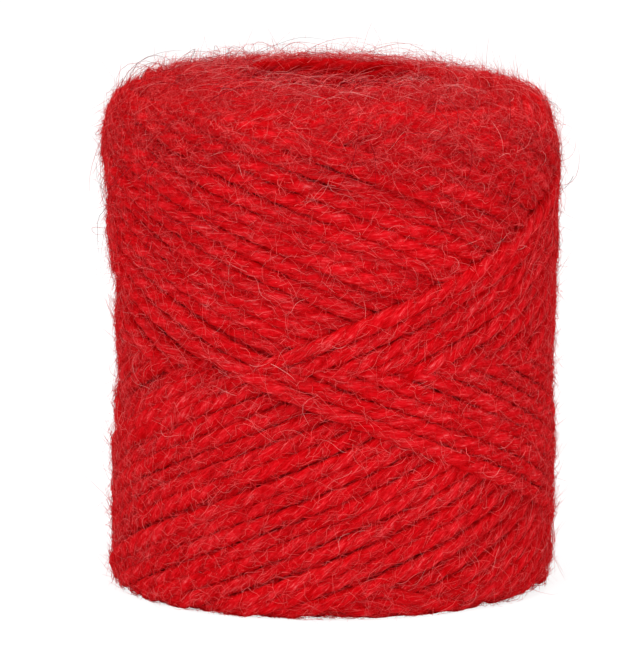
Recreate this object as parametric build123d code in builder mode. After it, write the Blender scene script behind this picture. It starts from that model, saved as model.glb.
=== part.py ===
"""A reel of cross-wound jute twine on a cardboard core tube.

One continuous twine is wound criss-cross over a spiral-wound cardboard tube until it forms a
self-supporting package: a slightly waisted barrel with a wide rounded shoulder, a tighter foot
that it stands on, and a dimpled mouth at each end that leads into the bore of the tube.

The package is built up in wound layers.  One wound layer is one full coverage of the surface,
a rising course and a falling course of twine that cross each other, so it is nearly two twines
thick.  Each layer is a closed ring with the outer shape of its turns, seated on the one below.
On the upper end every layer finishes in its own soft roll, where its turns go back down.  On
the lower end the reel's weight has pressed the turns into one flat ring.

Frame: millimetres, +Z along the winding axis, origin on the axis in the plane of the foot.
"""
from build123d import *
import math
import os

os.makedirs("parts", exist_ok=True)

# ---- package: overall shape of the wound twine -------------------------------------------
package_height = 88.0      # foot plane to the crown of the upper end
crown_diameter = 34.0      # circle of the highest turns
crown_fall = 0.15          # slope from the crown out to the rounded shoulder
shoulder_diameter = 76.6   # widest girth, just under the rounded shoulder
shoulder_rounding = 8.5    # radius from the widest girth over to the crown's slope
dimple_depth = 6.0         # how far the turns at the tube lie below the crown
waist_diameter = 73.4      # narrowest girth, where the crossing turns pull in
waist_height = 36.0        # level of the middle of the waist
waist_length = 18.0        # straight stretch between the tapers to shoulder and foot
foot_diameter = 74.0       # girth just above the rounded foot
foot_rounding = 3.6        # radius from the foot's girth in to the flat ring

# ---- core: spiral-wound cardboard tube ---------------------------------------------------
core_diameter = 22.0       # outside of the tube, which the first turns grip
core_wall = 1.2            # wound paper plies
core_setback = 6.0         # how far each end of the tube lies inside the end of the package
core_edge_break = 0.3      # worn rim of the cut tube
mouth_flare = 3.6          # how far the lower mouth opens beyond the tube, all round

# ---- winding -----------------------------------------------------------------------------
twine_diameter = 2.8
wound_layers = 5           # full coverages between the tube and the outside

# ---- places and radii that follow from the sizes above -----------------------------------
core_radius = core_diameter / 2
core_length = package_height - 2 * core_setback
core_top = core_setback + core_length
crown_radius = crown_diameter / 2
crown_angle = math.atan(crown_fall)
shoulder_radius = shoulder_diameter / 2
shoulder_centre = shoulder_radius - shoulder_rounding
crown_edge_radius = shoulder_centre + shoulder_rounding * math.sin(crown_angle)
crown_edge_level = package_height - crown_fall * (crown_edge_radius - crown_radius)
shoulder_height = crown_edge_level - shoulder_rounding * math.cos(crown_angle)
waist_radius = waist_diameter / 2
foot_radius = foot_diameter / 2
layer_build = (waist_radius - core_radius) / wound_layers
turn_radius = twine_diameter / 2        # a roll's edge slopes over half of its last turn
groove_depth = twine_diameter / 3       # how far the groove between two rolls dips
flattened_turn = twine_diameter / 6     # edge left on the turns that carry the weight
foot_ease = foot_rounding * math.sin(math.radians(45))


def end_level(radius):
    """Level of the upper end: dimpled inside the crown, sloping outside it to the shoulder."""
    if radius < crown_radius:
        inward = (crown_radius - radius) / (crown_radius - core_radius)
        return package_height - dimple_depth * inward**2
    if radius < crown_edge_radius:
        return package_height - crown_fall * (radius - crown_radius)
    return shoulder_height + math.sqrt(shoulder_rounding**2 - (radius - shoulder_centre) ** 2)


# ---- core tube ---------------------------------------------------------------------------
with BuildPart() as core_tube:
    with BuildSketch(Plane.XZ) as core_section:
        with Locations((core_radius - core_wall / 2, core_setback + core_length / 2)):
            Rectangle(core_wall, core_length)
        chamfer(core_section.vertices(), core_edge_break)
    revolve(axis=Axis.Z)
core_tube.part.label = "core_tube"
export_step(core_tube.part, "parts/core_tube.step")

# ---- inner wound layers, from the tube outwards --------------------------------------------
for layer in range(1, wound_layers):
    inner_radius = core_radius + (layer - 1) * layer_build
    outer_radius = inner_radius + layer_build
    outer_slope = outer_radius - turn_radius
    inner_slope = inner_radius + turn_radius
    if layer == 1:
        # the first turns run from end to end of the tube, and its mouth opens below it
        inner_wall = [(core_radius, core_top), (core_radius, core_setback)]
        lower_edge = (core_radius + mouth_flare, 0)
    else:
        inner_wall = [
            (inner_radius, end_level(inner_radius) - groove_depth),
            (inner_radius, flattened_turn),
        ]
        lower_edge = (inner_radius + flattened_turn, 0)
    with BuildPart() as winding_layer:
        with BuildSketch(Plane.XZ):
            with BuildLine():
                Polyline(
                    (inner_slope, end_level(inner_slope)),
                    *inner_wall,
                    lower_edge,
                    (outer_radius - flattened_turn, 0),
                    (outer_radius, flattened_turn),
                    (outer_radius, end_level(outer_radius) - groove_depth),
                    (outer_slope, end_level(outer_slope)),
                    close=True,
                )
            make_face()
        revolve(axis=Axis.Z)
    winding_layer.part.label = f"winding_layer_{layer}"
    export_step(winding_layer.part, f"parts/winding_layer_{layer}.step")

# ---- outermost wound layer, with the package's waisted side, shoulder and foot -------------
inner_radius = core_radius + (wound_layers - 1) * layer_build
crown = (crown_radius, package_height)
crown_edge = (crown_edge_radius, crown_edge_level)
shoulder = (shoulder_radius, shoulder_height)
upper_waist = (waist_radius, waist_height + waist_length / 2)
lower_waist = (waist_radius, waist_height - waist_length / 2)
foot = (foot_radius, foot_rounding)
foot_bevel = (foot_radius - foot_rounding + foot_ease, foot_rounding - foot_ease)
standing_edge = (foot_radius - foot_rounding, 0)

with BuildPart() as outer_layer:
    with BuildSketch(Plane.XZ):
        with BuildLine():
            Line(crown, crown_edge)
            TangentArc(crown_edge, shoulder, tangent=(1, -crown_fall))
            Polyline(shoulder, upper_waist, lower_waist, foot, foot_bevel, standing_edge)
            Polyline(standing_edge, (core_radius, 0), (core_radius, package_height), crown)
        make_face()
        with Locations((inner_radius / 2, package_height / 2)):
            Rectangle(inner_radius, 2 * package_height, mode=Mode.SUBTRACT)
    revolve(axis=Axis.Z)
    walls = outer_layer.faces().filter_by(GeomType.CYLINDER)
    inner_wall = walls.sort_by(lambda wall: wall.radius)[0]
    rims = inner_wall.edges().filter_by(GeomType.CIRCLE)
    chamfer(rims.sort_by(Axis.Z)[-1], groove_depth)
outer_layer.part.label = f"winding_layer_{wound_layers}"
export_step(outer_layer.part, f"parts/winding_layer_{wound_layers}.step")
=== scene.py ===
import math

import bpy
import numpy as np
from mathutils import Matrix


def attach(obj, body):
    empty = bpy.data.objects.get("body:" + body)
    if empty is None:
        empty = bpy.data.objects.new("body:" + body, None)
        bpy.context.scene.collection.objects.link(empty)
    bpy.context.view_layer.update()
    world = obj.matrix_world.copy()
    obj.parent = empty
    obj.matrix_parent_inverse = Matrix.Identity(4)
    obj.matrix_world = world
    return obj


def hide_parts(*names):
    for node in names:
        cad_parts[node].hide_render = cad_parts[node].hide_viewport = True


# A reel of cross-wound red jute twine.  The winding is laid turn by turn in the order in which a
# winding machine lays it, each turn settling on the turns below, so the crossings, the wedge of
# the last half course and the soft rolls at the ends come from the way the twine lies.
#
# Lengths are in millimetres.  Only the lamps, the floor and the camera are in metres, and each mesh
# and cord is turned into metres as it is made.  A place on the reel is given by phi, the angle
# round it from the front, and t, the way up its side from the level near which the last two turns
# cross.

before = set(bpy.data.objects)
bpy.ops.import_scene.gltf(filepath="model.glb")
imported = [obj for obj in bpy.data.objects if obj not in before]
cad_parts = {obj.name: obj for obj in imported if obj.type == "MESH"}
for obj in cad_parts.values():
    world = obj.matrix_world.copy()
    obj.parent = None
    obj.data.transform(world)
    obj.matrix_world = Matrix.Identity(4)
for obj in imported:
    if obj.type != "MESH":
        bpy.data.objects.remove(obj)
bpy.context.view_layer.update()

MM = 0.001
TAU = 2 * math.pi

# ---- the twine -----------------------------------------------------------------------------
TWINE = 2.8                # outside diameter
PLY_LAY = 12.3             # length of one turn of the three plies
PLY_CREST = 1.05           # a ply's crest, as a share of the twine's radius
PLY_GROOVE = 0.87          # the groove between two plies
FIBRE_LAY = 24.0           # length of one turn of the fibres, which lie straighter than the plies
TURN_HEIGHT = 1.2          # half thickness of a turn that is pressed on to the one below
SECTION_WIDTH = 1.06       # a turn's section is a little wider than round
SECTION_HEIGHT = 0.95      # and a little lower
SQUARED = 0.88             # power that squares it up, as tight turns do side by side
SWELL = 0.28               # how uneven the twine is in thickness, before neighbours are evened out
TAPER = 1.5                # length in which a stretch of it rounds off at its ends
FLATTENED = 0.1            # how much the lowest turns are pressed flat by the reel's weight
POINT_SPACING = 3          # from one control point of the twine's route to the next
ROUTE_DIVISIONS = 3        # steps of the route's curve for each control point
TUBE_SIDES = 12            # corners of the twine's section, four for each ply

# ---- outer shape of the package ------------------------------------------------------------
HEIGHT = 88.0
CROWN_RADIUS = 17.0        # circle of the highest turns
CROWN_FALL = 0.15          # slope from the crown out to the shoulder
INSIDE_CROWN = 4.0         # how far the outer profile runs on inside the crown's circle
SHOULDER_RADIUS = 38.3
SHOULDER_ROUNDING = 9.5
SHOULDER_LEVEL = 76.6      # where the shoulder's rounding meets the side
WAIST_RADIUS = 36.6
WAIST_LEVEL = 38.0
FOOT_RADIUS = 37.1
FOOT_ROUNDING = 3.0
FOOT_TOP = 24.0            # level at which the side starts to pull in towards the waist
UNDERSIDE_RADIUS = 24.0    # where the outer profile starts under the reel
CROSSING_LEVEL = 42.0      # level near which the last two turns cross, where t is 0
CORE_RADIUS = 11.0         # outside of the cardboard tube
BOARD_STRIP = 26.0         # how far the tube's spiral seam climbs in one turn
DIMPLE_DEPTH = 6.0         # how far the turns at the tube lie below the crown
COURSE_ROLL = 3.0          # radius with which the ends of an inner course roll in
LEAN = 1.0                 # how much the shoulder stands higher on the left, lower on the right
LEAN_ZONE = (78.0, 86.0)   # levels between which that sets in

# ---- winding -------------------------------------------------------------------------------
CELL = 0.5                 # cell of the height map that the turns settle on
STRETCH = 125              # length of twine that settles at a time, half a pass to a whole one
TENSION_ROUNDS = 80        # rounds in which its tension lifts it out of the hollows
CLIMB = 90                 # length of twine that climbs from one course on to the next
SLANT = 0.38               # sine of the outer turns' angle from level at mid height, about
EVENED = 2.0               # spread with which the height of a turn is evened out along it
LOWER_ROUNDNESS = 0.004    # how roundly every course turns back at the lower end, from 0 to 1
SEEN_END = 34.0            # an inner course shows only beyond this, up or down from mid height
COARSE = 4                 # and where it is buried, one point of its route in four is enough

# ---- the inner courses, from the tube outwards ---------------------------------------------
INNER_COURSES = (16, 18, 20, 22)       # there-and-back passes of each
INNER_RADIUS = 31.56                   # outside of the last of them
COURSE_WALL = (INNER_RADIUS - CORE_RADIUS) / len(INNER_COURSES)
COURSE_PRESSED = 0.8                   # what pressing leaves of the thickness over a turn
COURSE_FLOOR = 0.8                     # least height of a turn's middle over the course before
COURSE_MARGIN = 3.5                    # how far from its profile's ends a course turns back
COURSE_SHOWS = 9.0                     # how much of a course shows below its upper turning place

# ---- the last full course, and the half course on top of it --------------------------------
OUTER_CYCLES = 32                      # there-and-back passes of the full one
OUTER_PITCH = TAU / OUTER_CYCLES
LAST_CROSSING = math.radians(-17)      # the last two turns cross half a pitch to the left of it
FULL_START = LAST_CROSSING + math.radians(66)     # where it and the inner courses start
FULL_REACH = (-44.6, 46.5)             # t at which it turns back, at both ends
FULL_SHIFT = 1.8                       # how far its upper turning place shifts up and down
# the half course's last there-and-back pass starts opposite LAST_CROSSING
HALF_START = LAST_CROSSING - math.pi + (OUTER_CYCLES // 2 - 1) * OUTER_PITCH
HALF_REACH = (-43.8, 42.0)
HALF_SHIFT = 1.0
HALF_ROUNDNESS = 0.02                  # it turns back more roundly than the others
MAP_REACH = (-47.0, 52.0)              # the part of the side that their height map covers
TURNED_IN = 0.7                        # how much deeper the turns lie where they turn back above
TURNED_IN_ZONE = (42.0, 46.0)          # t between which that sets in
LAST_LOOP = 400                        # length before a course's end that holds its last loop above
LAST_TUCK = 1.6                        # how much deeper that loop lies, as no turn comes over it
LAST_TUCK_ZONE = (30.0, 36.0)          # t between which that sets in
DEPTHS = (0.6, 7.0)                    # least and most depth of the twine's middle

# ---- loose fibres --------------------------------------------------------------------------
LINT_ROOT = 0.82           # where lint leaves the twine, as a share of the twine's radius
LINT_SLANT = -0.35         # how it is turned from the twine's direction, by the lay of the fibres
MATTED = 0.7               # share of the lint that has slipped and lies along the twine instead
UPPER_END = (70.0, 80.0)   # levels between which lint gets as dense as on the upper end
MOUTH = (15.0, 21.0)       # radii between which it thins out to the mouth of the reel
FLAT_LINT = (80.0, 86.0)   # levels between which its lift falls to a half
FLOOR_CLEARANCE = 0.15     # the lowest that a fibre lies
CURL_JOINTS = 8            # points along each of the longer fibres


# ---- small numeric helpers -----------------------------------------------------------------
def bell(reach, spread):
    """Weights of a smoothing window."""
    weights = np.exp(-0.5 * (np.arange(-reach, reach + 1) / spread) ** 2)
    return weights / weights.sum()


def smoothed(values, spread):
    """The values smoothed along their order, keeping their number."""
    reach = max(1, int(3 * spread))
    return np.convolve(np.pad(values, reach, "edge"), bell(reach, spread), "valid")


def ease(x, start, end):
    """0 before the start, 1 after the end, and a smooth rise between."""
    x = np.clip((x - start) / (end - start), 0, 1)
    return x * x * (3 - 2 * x)


def mostly_low(low, high, count, rng):
    """Random numbers between low and high, most of them low."""
    return low + (high - low) * rng.random(count) ** 3


def unit(vectors):
    """The vectors with a length of one."""
    return vectors / (np.linalg.norm(vectors, axis=-1, keepdims=True) + 1e-9)


def arc(centre, radius, first, last, count):
    """Points of a circular arc in the half plane; angles from the outward direction."""
    angles = np.linspace(first, last, count)
    return [(centre[0] + radius * math.cos(a), centre[1] + radius * math.sin(a)) for a in angles]


# ---- the shape that the courses follow -----------------------------------------------------
class Profile:
    """A meridian of the package: radius r, level z and outward normal against the way t up it."""

    def __init__(self, corners):
        line = np.array(corners)
        way = np.r_[0, np.cumsum(np.hypot(*np.diff(line, axis=0).T))]
        even = np.arange(0, way[-1], CELL / 2)
        self.r = smoothed(np.interp(even, way, line[:, 0]), 5)
        self.z = smoothed(np.interp(even, way, line[:, 1]), 5)
        step = np.hypot(np.diff(self.r), np.diff(self.z))
        self.t = np.r_[0, np.cumsum(step)]
        self.t -= np.interp(CROSSING_LEVEL, self.z, self.t)
        dr, dz = np.gradient(self.r, self.t), np.gradient(self.z, self.t)
        self.nr, self.nz = dz / np.hypot(dr, dz), -dr / np.hypot(dr, dz)

    def place(self, phi, t, depth):
        """Points at the angle phi and the way t, that deep below the surface; the front is -Y."""
        r = np.interp(t, self.t, self.r) - depth * np.interp(t, self.t, self.nr)
        z = np.interp(t, self.t, self.z) - depth * np.interp(t, self.t, self.nz)
        z -= LEAN * r / SHOULDER_RADIUS * np.sin(phi) * ease(z, *LEAN_ZONE)
        return np.stack([r * np.sin(phi), -r * np.cos(phi), z], axis=1)


def end_level(radius):
    """Level of the upper end: dimpled inside the crown circle and falling outside it."""
    if radius < CROWN_RADIUS:
        share = (CROWN_RADIUS - radius) / (CROWN_RADIUS - CORE_RADIUS)
        return HEIGHT - DIMPLE_DEPTH * share**2
    return HEIGHT - CROWN_FALL * (radius - CROWN_RADIUS)


def outer_profile():
    """The outside of the package, from its underside over its side to its crown."""
    fall = math.atan(CROWN_FALL)
    foot = (FOOT_RADIUS - FOOT_ROUNDING, FOOT_ROUNDING)
    shoulder = (SHOULDER_RADIUS - SHOULDER_ROUNDING, SHOULDER_LEVEL)
    return Profile(
        [(UNDERSIDE_RADIUS, 0.0)]
        + arc(foot, FOOT_ROUNDING, -math.pi / 2, 0, 12)
        + [(FOOT_RADIUS, FOOT_TOP), (WAIST_RADIUS, WAIST_LEVEL)]
        + arc(shoulder, SHOULDER_ROUNDING, 0, math.pi / 2 - fall, 14)
        + [(CROWN_RADIUS, HEIGHT), (CROWN_RADIUS - INSIDE_CROWN, HEIGHT)]
    )


def inner_profile(radius):
    """One inner course: a cylinder whose ends roll in."""
    roll = COURSE_ROLL
    top = end_level(radius - roll)
    return Profile(
        [(radius - 2 * roll, 0.0)]
        + arc((radius - roll, roll), roll, -math.pi / 2, 0, 8)
        + arc((radius - roll, top - roll), roll, 0, math.pi / 2, 8)
        + [(radius - 2 * roll, top)]
    )


# ---- laying the turns ----------------------------------------------------------------------
def footprint(radius):
    """Cells under a turn, and how far its round section reaches down and up at each."""
    reach = np.arange(-int(radius / CELL), int(radius / CELL) + 1)
    across, along = np.meshgrid(reach, reach, indexing="ij")
    distance = np.hypot(across, along) * CELL
    inside = distance <= radius
    rise = TURN_HEIGHT * np.sqrt(1 - (distance[inside] / radius) ** 2)
    return across[inside], along[inside], rise


def wrapped_blur(values, window, axis):
    """Blur that runs round the reel along axis 0 and stops at the ends along axis 1."""
    reach = len(window) // 2
    pad = [(reach, reach) if k == axis else (0, 0) for k in (0, 1)]
    padded = np.pad(values, pad, "wrap" if axis == 0 else "constant")
    return np.apply_along_axis(np.convolve, axis, padded, window, "valid")


class HeightMap:
    """How high the turns have built up, on a grid of angle by way up the side."""

    MARGIN = 4                       # spare rows at each end
    SEAT = footprint(TWINE / 3)      # what a turn rests on
    TOP = footprint(TWINE / 2)       # what it covers

    def __init__(self, radius, low, high):
        self.radius, self.low = radius, low
        self.columns = int(round(TAU * radius / CELL))
        self.height = np.zeros((self.columns, int((high - low) / CELL) + 2 * self.MARGIN))

    def cells(self, phi, t, stamp):
        """The grid cells of a footprint at each of the points."""
        column = np.floor(phi / TAU * self.columns).astype(int)
        row = np.floor((t - self.low) / CELL).astype(int) + self.MARGIN
        rows = np.clip(row[:, None] + stamp[1], 0, self.height.shape[1] - 1)
        return (column[:, None] + stamp[0]) % self.columns, rows

    def settle(self, phi, t):
        """Lay a turn: it rests on what is below, and its tension bridges the hollows."""
        built = np.zeros(len(phi))
        bend = 1.15 * self.radius     # a slanting turn bends less than the side it lies on
        sag = 0.5 / bend              # how far a straight span of two steps dips towards it
        for first in range(0, len(phi), STRETCH):
            part = slice(first, first + STRETCH)
            under = self.height[self.cells(phi[part], t[part], self.SEAT)]
            base = (under + self.SEAT[2]).max(1)
            rest = base.copy()
            for _ in range(TENSION_ROUNDS):
                bridged = rest.copy()
                bridged[1:-1] = 0.5 * (rest[:-2] + rest[2:]) - sag
                rest = np.maximum(base, bridged)
                if first:
                    rest[0] = built[first - 1]
            built[part] = smoothed(rest, EVENED)
            where = self.cells(phi[part], t[part], self.TOP)
            np.maximum.at(self.height, where, built[part][:, None] + self.TOP[2])
        return smoothed(built, EVENED)

    def envelope(self, spread):
        """The built-up height with the single turns smoothed away."""
        covered = (self.height > CELL).astype(float)
        total, weight = self.height * covered, covered
        window = bell(int(3 * spread), spread)
        for axis in (0, 1):
            total, weight = (wrapped_blur(v, window, axis) for v in (total, weight))
        return total / np.maximum(weight, 1e-3)

    def read(self, surface, phi, t):
        """Values of a surface on this grid at points between its cells."""
        x = phi / TAU * self.columns - 0.5
        y = (t - self.low) / CELL + (self.MARGIN - 0.5)
        y = np.clip(y, 0, self.height.shape[1] - 1.001)
        i, j = np.floor(x).astype(int), np.floor(y).astype(int)
        a, b = x - i, y - j
        left, right = i % self.columns, (i + 1) % self.columns
        low = surface[left, j] * (1 - a) + surface[right, j] * a
        high = surface[left, j + 1] * (1 - a) + surface[right, j + 1] * a
        return low * (1 - b) + high * b


def swing(guide, roundness):
    """Where the guide is between its ends, from -1 to 1: the rounder, the earlier it slows."""
    steep = 1 - roundness
    return np.arcsin(steep * np.sin(guide)) / math.asin(steep)


def course(cycles, pitch, start, reach, radius, rng, shift=0.5, roundness=0.003, wait=0.0):
    """Angle and way up the side of a course, a millimetre apart.

    The guide goes from end to end once in each turn of the reel and slows before it turns back.
    It never turns at quite the same place twice, and at the upper end the place also shifts up
    and down from turn to turn.  The course may wait at the lower end while the reel turns on.
    """
    low, high = reach
    length = 2 * cycles * math.hypot(TAU * radius, high - low)
    guide = np.linspace(-math.pi / 2, (2 * cycles - 0.5) * math.pi, int(length))
    passes = (guide + math.pi / 2) / math.pi
    index = np.clip(passes.astype(int), 0, 2 * cycles - 1)
    blend = ease(passes, index, index + 1)

    upper_half = np.sin(guide) > 0
    rise, fall = swing(guide, roundness), swing(guide, LOWER_ROUNDNESS)
    sway = np.where(upper_half, high * rise, -low * fall)
    cycle = np.floor(guide / TAU).astype(int) + 1
    turn_back = np.where(upper_half, shift, 0.0) * np.sin(0.6 * cycle)    # waves of ten cycles
    turn_back += rng.uniform(-0.5, 0.5, cycles + 1)[cycle]
    beyond = (np.abs(np.sin(guide)) - 0.55) / 0.45     # 0 at 0.55 of the swing, 1 at its end
    t = sway + turn_back * (ease(beyond, 0, 1) * np.sign(np.sin(guide)))

    # each pass lies a little to one side of its even place, and wavers
    aside = rng.normal(0, 0.28, 2 * cycles + 1)
    drift = aside[index] * (1 - blend) + aside[index + 1] * blend
    waver = 1.1 * smoothed(rng.normal(0, 1, len(guide)), 9)
    phi = start + (2 + pitch / TAU) * (guide + math.pi / 2)
    phi += (drift + waver) / (SLANT * radius) * np.cos(guide) ** 2
    stay = np.arange(int(wait * radius)) / radius
    return np.r_[phi[0] - wait + stay, phi], np.r_[np.full(len(stay), t[0]), t]


def off_floor(points):
    """The points, with the middle of the twine no lower than it lies when it rests on the floor."""
    points[:, 2] = np.maximum(points[:, 2], TWINE / 2 - FLATTENED)
    return points


def jump_on(depth, start_depth):
    """Each inner course starts in the surface of the one before and climbs on to its own."""
    climb = ease(np.arange(len(depth)), 0, CLIMB)
    return start_depth * (1 - climb) + depth * climb


def wind_inner(number, cycles, outer_radius):
    """Points of one inner course, whose turns fill its share of the wall, and where it shows."""
    rng = np.random.default_rng(10 + number)
    profile = inner_profile(outer_radius)
    low, high = profile.t[0] + COURSE_MARGIN, profile.t[-1] - COURSE_MARGIN
    heights = HeightMap(outer_radius - COURSE_WALL / 2, low, high)
    phi, t = course(cycles, TAU / cycles, FULL_START, (low, high), heights.radius, rng)
    built = heights.settle(phi, t)
    top = heights.read(heights.envelope(8), phi, t)
    # what lies over a turn is pressed together a little, and all of it stays within its course
    depth = TWINE / 2 + np.clip(top - built - TURN_HEIGHT, 0, None) * COURSE_PRESSED
    depth = jump_on(np.minimum(depth, COURSE_WALL - COURSE_FLOOR), COURSE_WALL + TWINE / 2)
    return off_floor(profile.place(phi, t, depth)), t > high - COURSE_SHOWS


def last_tuck(t):
    """How much deeper the last loop of a course lies, near the upper end."""
    remaining = np.arange(len(t))[::-1]
    return LAST_TUCK * ease(LAST_LOOP - remaining, 0, 40) * ease(t, *LAST_TUCK_ZONE)


def wind_outer():
    """The last full course, and the half course that crosses on top of it: the points of each,
    and where it shows."""
    rng = np.random.default_rng(7)
    profile = outer_profile()
    heights = HeightMap(FOOT_RADIUS - 1, *MAP_REACH)
    radius = heights.radius
    wait = (HALF_START - FULL_START) % TAU
    full = course(OUTER_CYCLES, OUTER_PITCH, FULL_START, FULL_REACH, radius, rng, FULL_SHIFT)
    built_full = heights.settle(*full)
    half = course(OUTER_CYCLES // 2, -OUTER_PITCH, HALF_START, HALF_REACH, radius, rng,
                  HALF_SHIFT, HALF_ROUNDNESS, wait)
    built_half = heights.settle(*half)

    # A turn lies half as deep as the winding has built up over it, because turns press into each
    # other, and the reel bulges a little where the winding is fuller than elsewhere on its ring.
    near, wide = heights.envelope(7), heights.envelope(22)
    evened = heights.height + np.tanh(near - heights.height)     # by a millimetre at most
    ring = wide.mean(axis=0)
    courses = []
    for (phi, t), built in ((full, built_full), (half, built_half)):
        relief = heights.read(evened, phi, t) - built
        fullness = heights.read(wide - ring, phi, t)
        depth = smoothed(0.5 + 0.5 * relief - 0.2 * fullness, EVENED)
        depth = depth + TURNED_IN * ease(t, *TURNED_IN_ZONE) + last_tuck(t)
        points = off_floor(profile.place(phi, t, np.clip(depth, *DEPTHS)))
        shows = heights.read(heights.height, phi, t) - built - TURN_HEIGHT < 0.5
        courses.append((points, shows))
    return courses


# ---- meshes --------------------------------------------------------------------------------
def build_mesh(name, points, faces, uv, features):
    """A mesh of four-cornered faces with its bake layout and its per-point features."""
    mesh = bpy.data.meshes.new(name)
    mesh.vertices.add(len(points))
    mesh.vertices.foreach_set("co", (points * MM).astype(np.float32).ravel())
    mesh.loops.add(faces.size)
    mesh.loops.foreach_set("vertex_index", faces.astype(np.int32).ravel())
    mesh.polygons.add(len(faces))
    mesh.polygons.foreach_set("loop_start", np.arange(0, faces.size, 4, dtype=np.int32))
    mesh.polygons.foreach_set("use_smooth", np.ones(len(faces), bool))
    mesh.update(calc_edges=True)
    layer = mesh.uv_layers.new(name="OFBake")
    layer.data.foreach_set("uv", uv.astype(np.float32).ravel())
    for key, kind, values in features:
        slot = "vector" if kind == "FLOAT_VECTOR" else "value"
        mesh.attributes.new(key, kind, "POINT").data.foreach_set(slot, values.ravel())
    mesh.validate()
    piece = bpy.data.objects.new(name, mesh)
    bpy.context.scene.collection.objects.link(piece)
    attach(piece, "root")
    return piece


def outward_of(points, tangent):
    """The direction away from the middle of the reel, more sideways than up or down, and square
    to the twine."""
    outward = points * [1, 1, 0.25] - [0, 0, 0.25 * HEIGHT / 2]
    outward -= tangent * (outward * tangent).sum(1)[:, None]
    return outward / np.linalg.norm(outward, axis=1)[:, None]


# ---- twine as a twisted tube ---------------------------------------------------------------
def smooth_line(points):
    """A NURBS spline with these control points, read back as points."""
    curve = bpy.data.curves.new("route", "CURVE")
    curve.dimensions = "3D"
    spline = curve.splines.new("NURBS")
    spline.points.add(len(points) - 1)
    spline.points.foreach_set("co", np.c_[points, np.ones(len(points))].astype(np.float32).ravel())
    spline.order_u = 3
    spline.use_endpoint_u = True
    spline.resolution_u = ROUTE_DIVISIONS
    holder = bpy.data.objects.new("route", curve)
    mesh = bpy.data.meshes.new_from_object(holder)
    line = np.empty(len(mesh.vertices) * 3, np.float32)
    mesh.vertices.foreach_get("co", line)
    bpy.data.objects.remove(holder)
    bpy.data.curves.remove(curve)
    bpy.data.meshes.remove(mesh)
    return line.reshape(-1, 3).astype(float)


def thinned(line, seen, coarse):
    """Every point of a route where it shows, and one in a few where it is buried."""
    from_middle = np.abs(line[:, 2] - HEIGHT / 2)
    keep = (from_middle > seen) | (np.arange(len(line)) % coarse == 0)
    keep[0] = keep[-1] = True
    return line[keep]


def rows_uv(along, around, slimness):
    """A long strip folded into rows that fill the square, with a little room between them; both
    ends of a face are in one row."""
    rows = max(1, int(round(math.sqrt(slimness))))
    row = np.minimum((along.min(axis=1) * rows).astype(int), rows - 1)
    u = along * rows - row[:, None]
    v = (row[:, None] + 0.04 + 0.92 * around) / rows
    return np.stack([np.clip(u, 0, 1), v], axis=2)


def pressed(offset):
    """Square up a round section a little, as turns do that are wound tightly side by side."""
    return np.sign(offset) * np.abs(offset) ** SQUARED


def ply_section(line, along, turned, crest):
    """Points round each point of the twine: its three plies, with thick and thin places, a little
    wider than they are high, and rounded off at both ends of the stretch."""
    tangent = np.gradient(line, axis=0)
    tangent /= np.linalg.norm(tangent, axis=1)[:, None]
    outward = outward_of(line, tangent)
    side = np.cross(tangent, outward)
    reach = TWINE / 2 * (PLY_GROOVE + (PLY_CREST - PLY_GROOVE) * crest)
    blunt = 0.3     # so that the last ring keeps a width
    taper = np.minimum(1, np.minimum(along + blunt, along[-1] + blunt - along) / TAPER)[:, None]
    rng = np.random.default_rng(len(line))
    swell = 1 + SWELL * smoothed(rng.normal(0, 1, len(line)), 4)
    size = reach[None, :] * np.sqrt(taper * (2 - taper)) * swell[:, None]
    across = (SECTION_HEIGHT * size * pressed(np.cos(turned)))[:, :, None] * outward[:, None, :]
    across += (SECTION_WIDTH * size * pressed(np.sin(turned)))[:, :, None] * side[:, None, :]
    points = (line[:, None, :] + across).reshape(-1, 3)
    points[:, 2] = np.maximum(points[:, 2], 0.0)     # flat where the reel stands on it
    return points


def twine_tube(name, line):
    """Three plies laid together: a tube whose section has three crests that turn along it."""
    step = np.linalg.norm(np.diff(line, axis=0), axis=1)
    along = np.r_[0, np.cumsum(step)]
    rings, sides = len(line), TUBE_SIDES
    ply = TAU * np.arange(sides) / sides
    crest = 0.5 + 0.5 * np.cos(3 * ply)
    turned = ply[None, :] - TAU * along[:, None] / PLY_LAY
    points = ply_section(line, along, turned, crest)

    ring, corner = np.meshgrid(np.arange(rings - 1), np.arange(sides), indexing="ij")
    ring, corner = ring.ravel(), corner.ravel()
    after = (corner + 1) % sides
    faces = np.stack([ring * sides + corner, ring * sides + after,
                      (ring + 1) * sides + after, (ring + 1) * sides + corner], axis=1)
    ends = along[np.stack([ring, ring, ring + 1, ring + 1], axis=1)] / along[-1]
    around = np.stack([corner, corner + 1, corner + 1, corner], axis=1) / sides
    uv = rows_uv(ends, around, along[-1] / (math.pi * TWINE))

    strand = turned + TAU * along[:, None] / FIBRE_LAY
    fibre = np.empty((rings, sides, 3))
    fibre[:, :, 0] = TWINE / 2 * np.cos(strand)
    fibre[:, :, 1] = TWINE / 2 * np.sin(strand)
    fibre[:, :, 2] = along[:, None]
    features = [
        ("Fibre", "FLOAT_VECTOR", fibre),
        ("Crest", "FLOAT", np.repeat(crest[None, :], rings, axis=0)),
        # how far a point faces out from the reel, which sets the painted flank shade and crest
        # highlight
        ("Outer", "FLOAT", np.clip(np.cos(turned), 0, 1)),
    ]
    return build_mesh(name, points, faces, uv, features), along[-1]


def lay_twine(name, node, points, seen=0.0, coarse=1):
    line = thinned(smooth_line(points[::POINT_SPACING]), seen, coarse)
    piece, length = twine_tube(name, line)
    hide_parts(node)
    return piece


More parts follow.
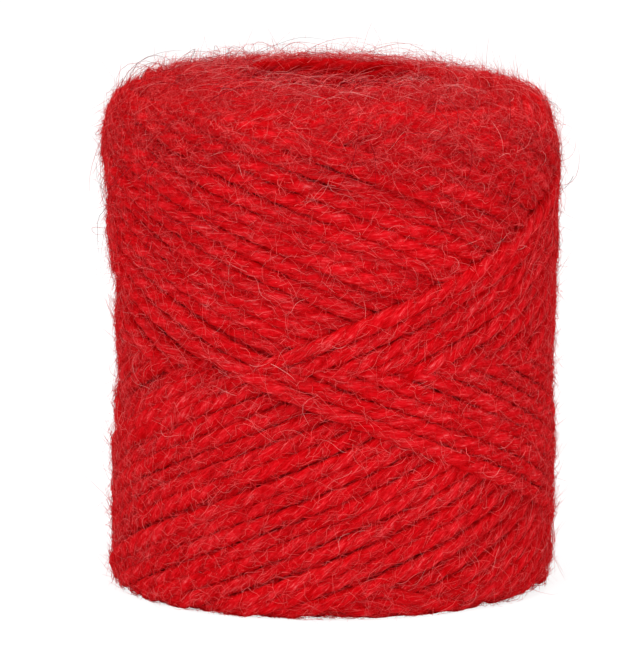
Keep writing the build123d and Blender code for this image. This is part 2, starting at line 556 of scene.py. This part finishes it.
def wind_reel():
    """All courses of the winding, from the tube outwards, and the stretches of them that show."""
    pieces, shown = [], []
    for number, cycles in enumerate(INNER_COURSES, 1):
        points, shows = wind_inner(number, cycles, CORE_RADIUS + number * COURSE_WALL)
        node = f"winding_layer_{number}"
        pieces.append(lay_twine(f"twine_course_{number}", node, points, SEEN_END, COARSE))
        shown.append((points, shows))
    full, half = wind_outer()
    middle = len(full[0]) // 2
    node = f"winding_layer_{len(INNER_COURSES) + 1}"
    pieces.append(lay_twine("twine_course_5_first", node, full[0][:middle]))
    pieces.append(lay_twine("twine_course_5_second", node, full[0][middle:]))
    pieces.append(lay_twine("twine_last_half_course", node, half[0]))
    return pieces, shown + [full, half]


# ---- loose fibres --------------------------------------------------------------------------
def fibre_mesh(name, centre, thickness, shade):
    """Thin tapering fibres as one piece, along centre, an array of fibre by joint by xyz."""
    count, joints, sides = centre.shape[0], centre.shape[1], 3
    centre[:, :, 2] = np.maximum(centre[:, :, 2], FLOOR_CLEARANCE)
    s = np.linspace(0, 1, joints)
    tangent = unit(np.gradient(centre, axis=1))
    side = unit(np.cross(tangent, unit(centre)))
    other = np.cross(tangent, side)
    corner = TAU * np.arange(sides) / sides
    size = thickness[:, None] / 2 * (1.05 - 0.8 * s[None, :] ** 2)     # thin at its tip
    ring = np.cos(corner)[:, None] * side[:, :, None] + np.sin(corner)[:, None] * other[:, :, None]
    points = (centre[:, :, None, :] + size[:, :, None, None] * ring).reshape(-1, 3)

    counts = np.arange(count), np.arange(joints - 1), np.arange(sides)
    fibre, joint, edge = np.meshgrid(*counts, indexing="ij")
    start = (fibre * joints + joint) * sides
    after = (edge + 1) % sides
    faces = np.stack([start + edge, start + after, start + sides + after, start + sides + edge], 3)
    grid = int(math.ceil(math.sqrt(count)))
    cell = np.stack([fibre % grid, fibre // grid], axis=3)
    lengthwise = np.stack([joint, joint, joint + 1, joint + 1], axis=3) / (joints - 1)
    crosswise = np.stack([edge, edge + 1, edge + 1, edge], axis=3) / sides
    inside = np.stack([lengthwise, crosswise], axis=4)
    uv = (cell[:, :, :, None, :] + 0.1 + 0.8 * inside) / grid
    feature = ("Shade", "FLOAT", np.repeat(shade, joints * sides))
    return build_mesh(name, points, faces.reshape(-1, 4), uv.reshape(-1, 2), [feature])


def lint_roots(shown, count, extra, rng):
    """Places on the twine that shows, and its direction there: extra times more of them on the
    upper end, and half as many in the mouth of the reel."""
    places = np.concatenate([points[1:-1][shows[1:-1]] for points, shows in shown])
    directions = [unit(points[2:] - points[:-2])[shows[1:-1]] for points, shows in shown]
    upper_end = ease(places[:, 2], *UPPER_END)
    outside_mouth = ease(np.hypot(places[:, 0], places[:, 1]), *MOUTH)
    weight = (1 + extra * upper_end) * (0.5 + 0.5 * outside_mouth)
    pick = rng.choice(len(places), count, p=weight / weight.sum())
    return places[pick], np.concatenate(directions)[pick]


def lint(name, shown, count, seed, lengths, lifts, finest, joints, extra):
    """Short fibre ends all over the twine: they lie along its fibres, or nearly, and lift off it.
    Most are matted: they have slipped to one side and point either way along the twine."""
    rng = np.random.default_rng(seed)
    place, tangent = lint_roots(shown, count, extra, rng)
    outward = outward_of(place, tangent)
    side = np.cross(tangent, outward)
    around = rng.normal(0, 0.5, count)[:, None]
    up = np.cos(around) * outward + np.sin(around) * side
    flank = np.cos(around) * side - np.sin(around) * outward

    # the way each points
    turn = rng.normal(LINT_SLANT, 0.5, count)[:, None]
    matted = rng.random(count) < MATTED
    number = matted.sum()
    turn[matted, 0] = rng.normal(0, 0.8, number) + math.pi * rng.integers(0, 2, number)
    place = place + (matted * rng.uniform(-0.5, 0.5, count) * TWINE)[:, None] * side
    ahead = np.cos(turn) * tangent + np.sin(turn) * flank
    beside = np.cross(up, ahead)

    # its line, which rises from just under the twine's surface, sinks again and bends in a wave
    length = rng.uniform(*lengths, count)[:, None, None]
    lift = mostly_low(*lifts, count, rng)
    lift = (lift * (1 - 0.5 * ease(place[:, 2], *FLAT_LINT)))[:, None, None]
    curl = rng.normal(0, 0.5, count)[:, None, None]
    s = np.linspace(0, 1, joints)[None, :, None]
    rise = LINT_ROOT * TWINE / 2 + lift * np.sin(0.8 * math.pi * s)
    centre = place[:, None, :] + rise * up[:, None, :]
    wave = rng.normal(0, 0.09, (count, 1, 1)) * np.sin(1.4 * TAU * (s + rng.random((count, 1, 1))))
    bent = curl * s * s + wave
    centre = centre + length * ((s - 0.4) * ahead[:, None, :] + bent * beside[:, None, :])
    return fibre_mesh(name, centre, finest * rng.uniform(1, 2.2, count), rng.random(count))


def curls(name, count, seed, lengths, lifts, above=-38.0, lacking=0.0, thickness=(0.035, 0.065)):
    """Longer fibres that have worked loose: each leaves the surface, curls and mostly comes back.
    They start above a place on the side, and the right side lacks a share of them."""
    rng = np.random.default_rng(seed)
    profile = outer_profile()
    starts = profile.t[profile.t > above]
    weight = np.interp(starts, profile.t, profile.r)
    t0 = rng.choice(starts, count, p=weight / weight.sum())
    phi0 = rng.uniform(0, TAU, 3 * count)
    phi0 = phi0[rng.random(3 * count) < 1 - lacking * (0.5 + 0.5 * np.sin(phi0))][:count]
    length = rng.uniform(*lengths, count)
    lift = mostly_low(*lifts, count, rng)
    heading = rng.normal(0.35, 0.8, count) + math.pi * rng.integers(0, 2, count)
    curl = rng.normal(0, 1.3, count)
    back = np.where(rng.random(count) < 0.6, math.pi, 0.62 * math.pi)

    s = np.linspace(0, 1, CURL_JOINTS)
    wave = rng.normal(0, 0.4, (count, 1)) * np.sin(TAU * s + rng.uniform(0, TAU, (count, 1)))
    angle = heading[:, None] + curl[:, None] * (s - 0.5) + wave
    stride = length[:, None] / (CURL_JOINTS - 1)
    t = t0[:, None] + np.cumsum(np.sin(angle) * stride, axis=1)
    t = np.clip(t, profile.t[0] + 8, profile.t[-1] - 1)
    r = np.interp(t, profile.t, profile.r)
    phi = phi0[:, None] + np.cumsum(np.cos(angle) * stride / r, axis=1)
    height = -0.5 + (lift[:, None] + 0.5) * np.sin(back[:, None] * s) ** 0.8
    centre = profile.place(phi.ravel(), t.ravel(), -height.ravel()).reshape(count, CURL_JOINTS, 3)
    return fibre_mesh(name, centre, rng.uniform(*thickness, count), rng.random(count))


# ---- materials -----------------------------------------------------------------------------
class Nodes:
    """A node tree, with short ways to add and join nodes."""

    def __init__(self, tree):
        self.tree = tree

    def add(self, kind, **settings):
        """A new node with these settings."""
        node = self.tree.nodes.new(kind)
        for key, value in settings.items():
            setattr(node, key, value)
        return node

    def join(self, out, into):
        """Link an output to an input."""
        self.tree.links.new(out, into)

    def feed(self, socket, value):
        """Give a socket a number, a colour or another node's output."""
        if isinstance(value, tuple):
            socket.default_value = (*value, 1)
        elif isinstance(value, (int, float)):
            socket.default_value = value
        else:
            self.join(value, socket)

    def attribute(self, name):
        """A node that reads one of the mesh's features."""
        return self.add("ShaderNodeAttribute", attribute_name=name)

    def scaled(self, vector, scale):
        """The vector, each part of it multiplied by its own number."""
        node = self.add("ShaderNodeVectorMath", operation="MULTIPLY")
        self.join(vector, node.inputs[0])
        node.inputs[1].default_value = scale
        return node.outputs[0]

    def noise(self, vector, scale, detail=2.0, roughness=0.5):
        """Noise at the vector."""
        node = self.add("ShaderNodeTexNoise")
        self.join(vector, node.inputs["Vector"])
        node.inputs["Scale"].default_value = scale
        node.inputs["Detail"].default_value = detail
        node.inputs["Roughness"].default_value = roughness
        return node.outputs["Fac"]

    def math(self, operation, a, b):
        """What an operation makes of two values."""
        node = self.add("ShaderNodeMath", operation=operation)
        self.feed(node.inputs[0], a)
        self.feed(node.inputs[1], b)
        return node.outputs[0]

    def blend(self, a, share, b):
        """Two values added, the first by its share and the second by the rest."""
        return self.math("ADD", self.math("MULTIPLY", a, share),
                         self.math("MULTIPLY", b, 1 - share))

    def ramp(self, value, stops):
        """The colour for a value, from stops of position and colour."""
        node = self.add("ShaderNodeValToRGB")
        self.join(value, node.inputs[0])
        while len(node.color_ramp.elements) < len(stops):
            node.color_ramp.elements.new(0.5)
        for element, (position, colour) in zip(node.color_ramp.elements, stops):
            element.position = position
            element.color = (*colour, 1)
        return node.outputs[0]

    def multiplied(self, a, b):
        """Two colours multiplied."""
        node = self.add("ShaderNodeMix", data_type="RGBA", blend_type="MULTIPLY")
        self.feed(node.inputs[0], 1.0)
        self.feed(node.inputs[6], a)
        self.feed(node.inputs[7], b)
        return node.outputs[2]


class Material(Nodes):
    """A new material, with a Principled shader to be fed."""

    def __init__(self, name):
        self.data = bpy.data.materials.new(name)
        self.data.use_nodes = True
        super().__init__(self.data.node_tree)
        self.shader = self.tree.nodes["Principled BSDF"]

    def set(self, socket, value):
        """Give the shader a number, a colour or another node's output."""
        self.feed(self.shader.inputs[socket], value)

    def bump(self, height, strength, distance):
        """Raise the surface by the height, at most by the distance."""
        node = self.add("ShaderNodeBump")
        self.join(height, node.inputs["Height"])
        node.inputs["Strength"].default_value = strength
        node.inputs["Distance"].default_value = distance
        self.join(node.outputs[0], self.shader.inputs["Normal"])


WHITE = (1, 1, 1)
DEEP_RED = (0.46, 0.0004, 0.0012)
TWINE_RED = (0.62, 0.0020, 0.0052)
BRIGHT_RED = (0.72, 0.014, 0.020)
WORN_PINK = (0.82, 0.13, 0.135)
SHADED_RED = (0.16, 0.004, 0.012)
LIGHT_RED = (0.88, 0.13, 0.13)
SOFT_RED = (0.82, 0.10, 0.11)
# painted highlight of fine loose fibres that catch the light
HIGHLIGHT_PINK = (0.88, 0.45, 0.42)


def grey(level):
    """A colour with no hue."""
    return (level, level, level)


def jute_material():
    """Dyed jute: fibres that follow the plies. Painted highlight makes it brighter and pinker on
    the outer crests, and painted shade makes it darker in the grooves between the plies, on the
    flanks of a turn and in the mouth of the reel."""
    m = Material("jute")
    fibre = m.attribute("Fibre").outputs["Vector"]
    crest = m.attribute("Crest").outputs["Fac"]
    strands = m.noise(m.scaled(fibre, (2.0, 2.0, 0.4)), 1.5, 3.0, 0.72)
    clumps = m.noise(m.scaled(fibre, (0.6, 0.6, 0.12)), 0.9, 2.0)
    tone = m.blend(strands, 0.72, clumps)
    reds = (DEEP_RED, TWINE_RED, BRIGHT_RED, WORN_PINK)
    dye = m.ramp(tone, list(zip((0.36, 0.48, 0.58, 0.70), reds)))
    # painted shade: the twine is darker in the grooves between its plies, where shade falls
    groove = m.ramp(crest, [(0.0, (0.84, 0.5, 0.5)), (0.5, WHITE)])
    # painted shade on the flanks of a turn, which face away from the light, and painted highlight,
    # brighter and pinker, on its outer crest
    outer = m.attribute("Outer").outputs["Fac"]
    flank = m.ramp(outer, [
        (0.3, (0.86, 0.5, 0.5)),
        (0.6, (0.96, 0.85, 0.85)),
        (0.95, (1.0, 1.2, 1.2)),
    ])
    from_axis = m.add("ShaderNodeVectorMath", operation="LENGTH")     # 1 stands for 40 mm
    m.join(m.scaled(m.add("ShaderNodeTexCoord").outputs["Object"], (25, 25, 0)),
           from_axis.inputs[0])
    # painted shade: the twine is darker towards the axis, where the hollow of the reel lies in
    # shade
    mouth = m.ramp(from_axis.outputs["Value"], [(0.36, (0.46, 0.5, 0.5)), (0.5, WHITE)])
    colour = m.multiplied(m.multiplied(dye, groove), flank)
    m.set("Base Color", m.multiplied(colour, mouth))
    m.set("Roughness", m.ramp(tone, [(0.3, grey(0.95)), (0.7, grey(0.66))]))
    m.set("Sheen Weight", 0.03)
    m.set("Sheen Roughness", 0.4)
    m.set("Sheen Tint", (1.0, 0.25, 0.25))
    m.set("Specular IOR Level", 0.015)
    m.bump(tone, 0.6, 0.4 * MM)
    return m.data


def fibre_material(name, stops):
    """Loose fibres: a range of shades, each with its own change along its length."""
    m = Material(name)
    shade = m.attribute("Shade").outputs["Fac"]
    place = m.add("ShaderNodeTexCoord").outputs["Object"]
    fleck = m.noise(place, 900.0, 1.0)
    m.set("Base Color", m.ramp(m.blend(shade, 0.85, fleck), stops))
    m.set("Roughness", 0.7)
    m.set("Specular IOR Level", 0.03)
    return m.data


def cardboard_material():
    """Grey-brown board wound in a spiral, with its seam, fibres and flecks."""
    m = Material("spiral_board")
    place = m.add("ShaderNodeTexCoord").outputs["Object"]
    parts = m.add("ShaderNodeSeparateXYZ")
    m.join(place, parts.inputs[0])
    angle = m.math("DIVIDE", m.math("ARCTAN2", parts.outputs[1], parts.outputs[0]), TAU)
    rise = m.math("DIVIDE", parts.outputs[2], BOARD_STRIP * MM)
    spiral = m.math("FRACT", m.math("ADD", angle, rise), 0)
    seam = m.ramp(spiral, [(0.0, grey(0.45)), (0.025, WHITE), (0.97, WHITE), (1.0, grey(0.45))])
    pulp = m.noise(m.scaled(place, (1, 1, 0.35)), 1400.0, 4.0, 0.7)
    cloud = m.noise(place, 160.0, 2.0)
    tone = m.blend(pulp, 0.6, cloud)
    board = m.ramp(tone, [
        (0.3, (0.26, 0.17, 0.10)),
        (0.5, (0.42, 0.30, 0.19)),
        (0.7, (0.55, 0.42, 0.29)),
    ])
    m.set("Base Color", m.multiplied(board, seam))
    m.set("Roughness", 0.85)
    m.bump(m.math("MULTIPLY", tone, seam), 0.5, 0.2 * MM)
    return m.data


# ---- stage, light and camera ---------------------------------------------------------------
def aimed(thing, place, target):
    """Put a lamp or the camera at a place, looking at the target."""
    holder = bpy.data.objects.new(thing.name, thing)
    bpy.context.scene.collection.objects.link(holder)
    holder.location = place
    direction = np.array(target) - np.array(place)
    yaw = math.atan2(direction[0], direction[1])
    pitch = math.atan2(direction[2], math.hypot(direction[0], direction[1]))
    holder.rotation_euler = (math.pi / 2 + pitch, 0, -yaw)
    return holder


def soft_lamp(name, place, size, power):
    """A large round lamp that looks at the middle of the reel."""
    lamp = bpy.data.lights.new(name, "AREA")
    lamp.shape = "DISK"
    lamp.size = size
    lamp.energy = power
    aimed(lamp, place, (0, 0, HEIGHT / 2 * MM))


def white_for_camera(m, surface, kind, output, strength, share):
    """Show a share of plain white to the camera and in reflections, and the surface otherwise."""
    white = m.add(kind)
    white.inputs["Strength"].default_value = strength
    white.inputs["Color"].default_value = (1, 1, 1, 1)
    path = m.add("ShaderNodeLightPath")
    seen = path.outputs["Is Camera Ray"]
    for ray in ("Is Glossy Ray", "Is Transmission Ray"):
        seen = m.math("MAXIMUM", seen, path.outputs[ray])
    mixed = m.add("ShaderNodeMixShader")
    m.join(m.math("MULTIPLY", seen, share), mixed.inputs[0])
    m.join(surface.outputs[0], mixed.inputs[1])
    m.join(white.outputs[0], mixed.inputs[2])
    m.join(mixed.outputs[0], output.inputs[0])


def floor():
    """A plain white floor that keeps the reel's soft shadow."""
    mesh = bpy.data.meshes.new("floor")
    half = 12.0
    corners = [(-half, -half, 0), (half, -half, 0), (half, half, 0), (-half, half, 0)]
    mesh.from_pydata(corners, [], [(0, 1, 2, 3)])
    plane = bpy.data.objects.new("floor", mesh)
    bpy.context.scene.collection.objects.link(plane)
    m = Material("floor_white")
    m.set("Base Color", grey(0.9))
    m.set("Roughness", 1.0)
    m.set("Specular IOR Level", 0.0)
    output = m.tree.nodes["Material Output"]
    white_for_camera(m, m.shader, "ShaderNodeEmission", output, 1.1, 0.8)
    mesh.materials.append(m.data)


def surroundings():
    """Even white light from all round, and three soft lamps."""
    world = bpy.data.worlds.new("studio")
    bpy.context.scene.world = world
    world.use_nodes = True
    m = Nodes(world.node_tree)
    sky = m.tree.nodes["Background"]
    sky.inputs["Color"].default_value = (1, 1, 1, 1)
    sky.inputs["Strength"].default_value = 0.53
    output = m.tree.nodes["World Output"]
    white_for_camera(m, sky, "ShaderNodeBackground", output, 1.0, 1.0)
    soft_lamp("key", (-0.7, -1.25, 1.3), 0.9, 12.8)
    soft_lamp("fill", (1.1, -1.2, 0.5), 0.9, 5.0)
    soft_lamp("top", (0.0, -0.3, 1.5), 0.8, 12.3)


def camera():
    """A long lens a metre and a half away, a little above the reel."""
    lens = bpy.data.cameras.new("camera")
    lens.sensor_fit = "HORIZONTAL"
    lens.sensor_width = 36.0
    lens.lens = 512.0
    lens.clip_end = 100.0
    height, rise, aside, distance = 0.0433, math.radians(9.0), -0.0037, 1.5
    place = (aside, -distance * math.cos(rise), height + distance * math.sin(rise))
    bpy.context.scene.camera = aimed(lens, place, (aside, 0, height))
    bpy.context.scene.view_settings.view_transform = "Standard"


# ---- the scene -----------------------------------------------------------------------------
camera()
surroundings()
floor()

jute = jute_material()
pieces, shown = wind_reel()
for piece in pieces:
    piece.data.materials.append(jute)

red_fibres = fibre_material("loose_red", [(0.2, TWINE_RED), (0.6, BRIGHT_RED), (0.9, LIGHT_RED)])
# The curls and the hairs over the mouth get a paler copy of the loose fibres' colour: painted
# highlight, as fine loose fibres catch the light.
painted_highlight_fibres = fibre_material("loose_painted_highlight", [(0.1, BRIGHT_RED), (0.6, SOFT_RED), (1.0, HIGHLIGHT_PINK)])
# The flyaways get a darker copy of the loose fibres' colour: painted shade, as hairs that stand out
# against the white look dark.
painted_shade_fibres = fibre_material(
    "loose_painted_shade", [(0.1, SHADED_RED), (0.75, TWINE_RED), (1.0, BRIGHT_RED)])

SHORT_LINT = dict(count=11000, lengths=(1.2, 3.8), lifts=(0.03, 0.4), finest=0.052, joints=4,
                  extra=2.6)
LONG_LINT = dict(count=5300, lengths=(2.5, 7.0), lifts=(0.1, 0.7), finest=0.035, joints=7,
                 extra=0.6)
for number, kind in enumerate([SHORT_LINT] * 10 + [LONG_LINT] * 5):
    piece = lint(f"lint_{number + 1}", shown, seed=100 + number, **kind)
    piece.data.materials.append(red_fibres)

piece = curls("curls", 2000, seed=200, lengths=(3.0, 9.0), lifts=(0.2, 1.4))
piece.data.materials.append(painted_highlight_fibres)
piece = curls("mouth_hairs", 560, seed=400, lengths=(5.0, 13.0), lifts=(0.4, 2.8), above=50.0)
piece.data.materials.append(painted_highlight_fibres)
piece = curls("flyaways", 460, seed=300, lengths=(6.0, 17.0), lifts=(0.6, 3.8), above=20.0,
              lacking=0.8, thickness=(0.05, 0.09))
piece.data.materials.append(painted_shade_fibres)

board = cardboard_material()
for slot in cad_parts["core_tube"].material_slots:
    slot.material = board
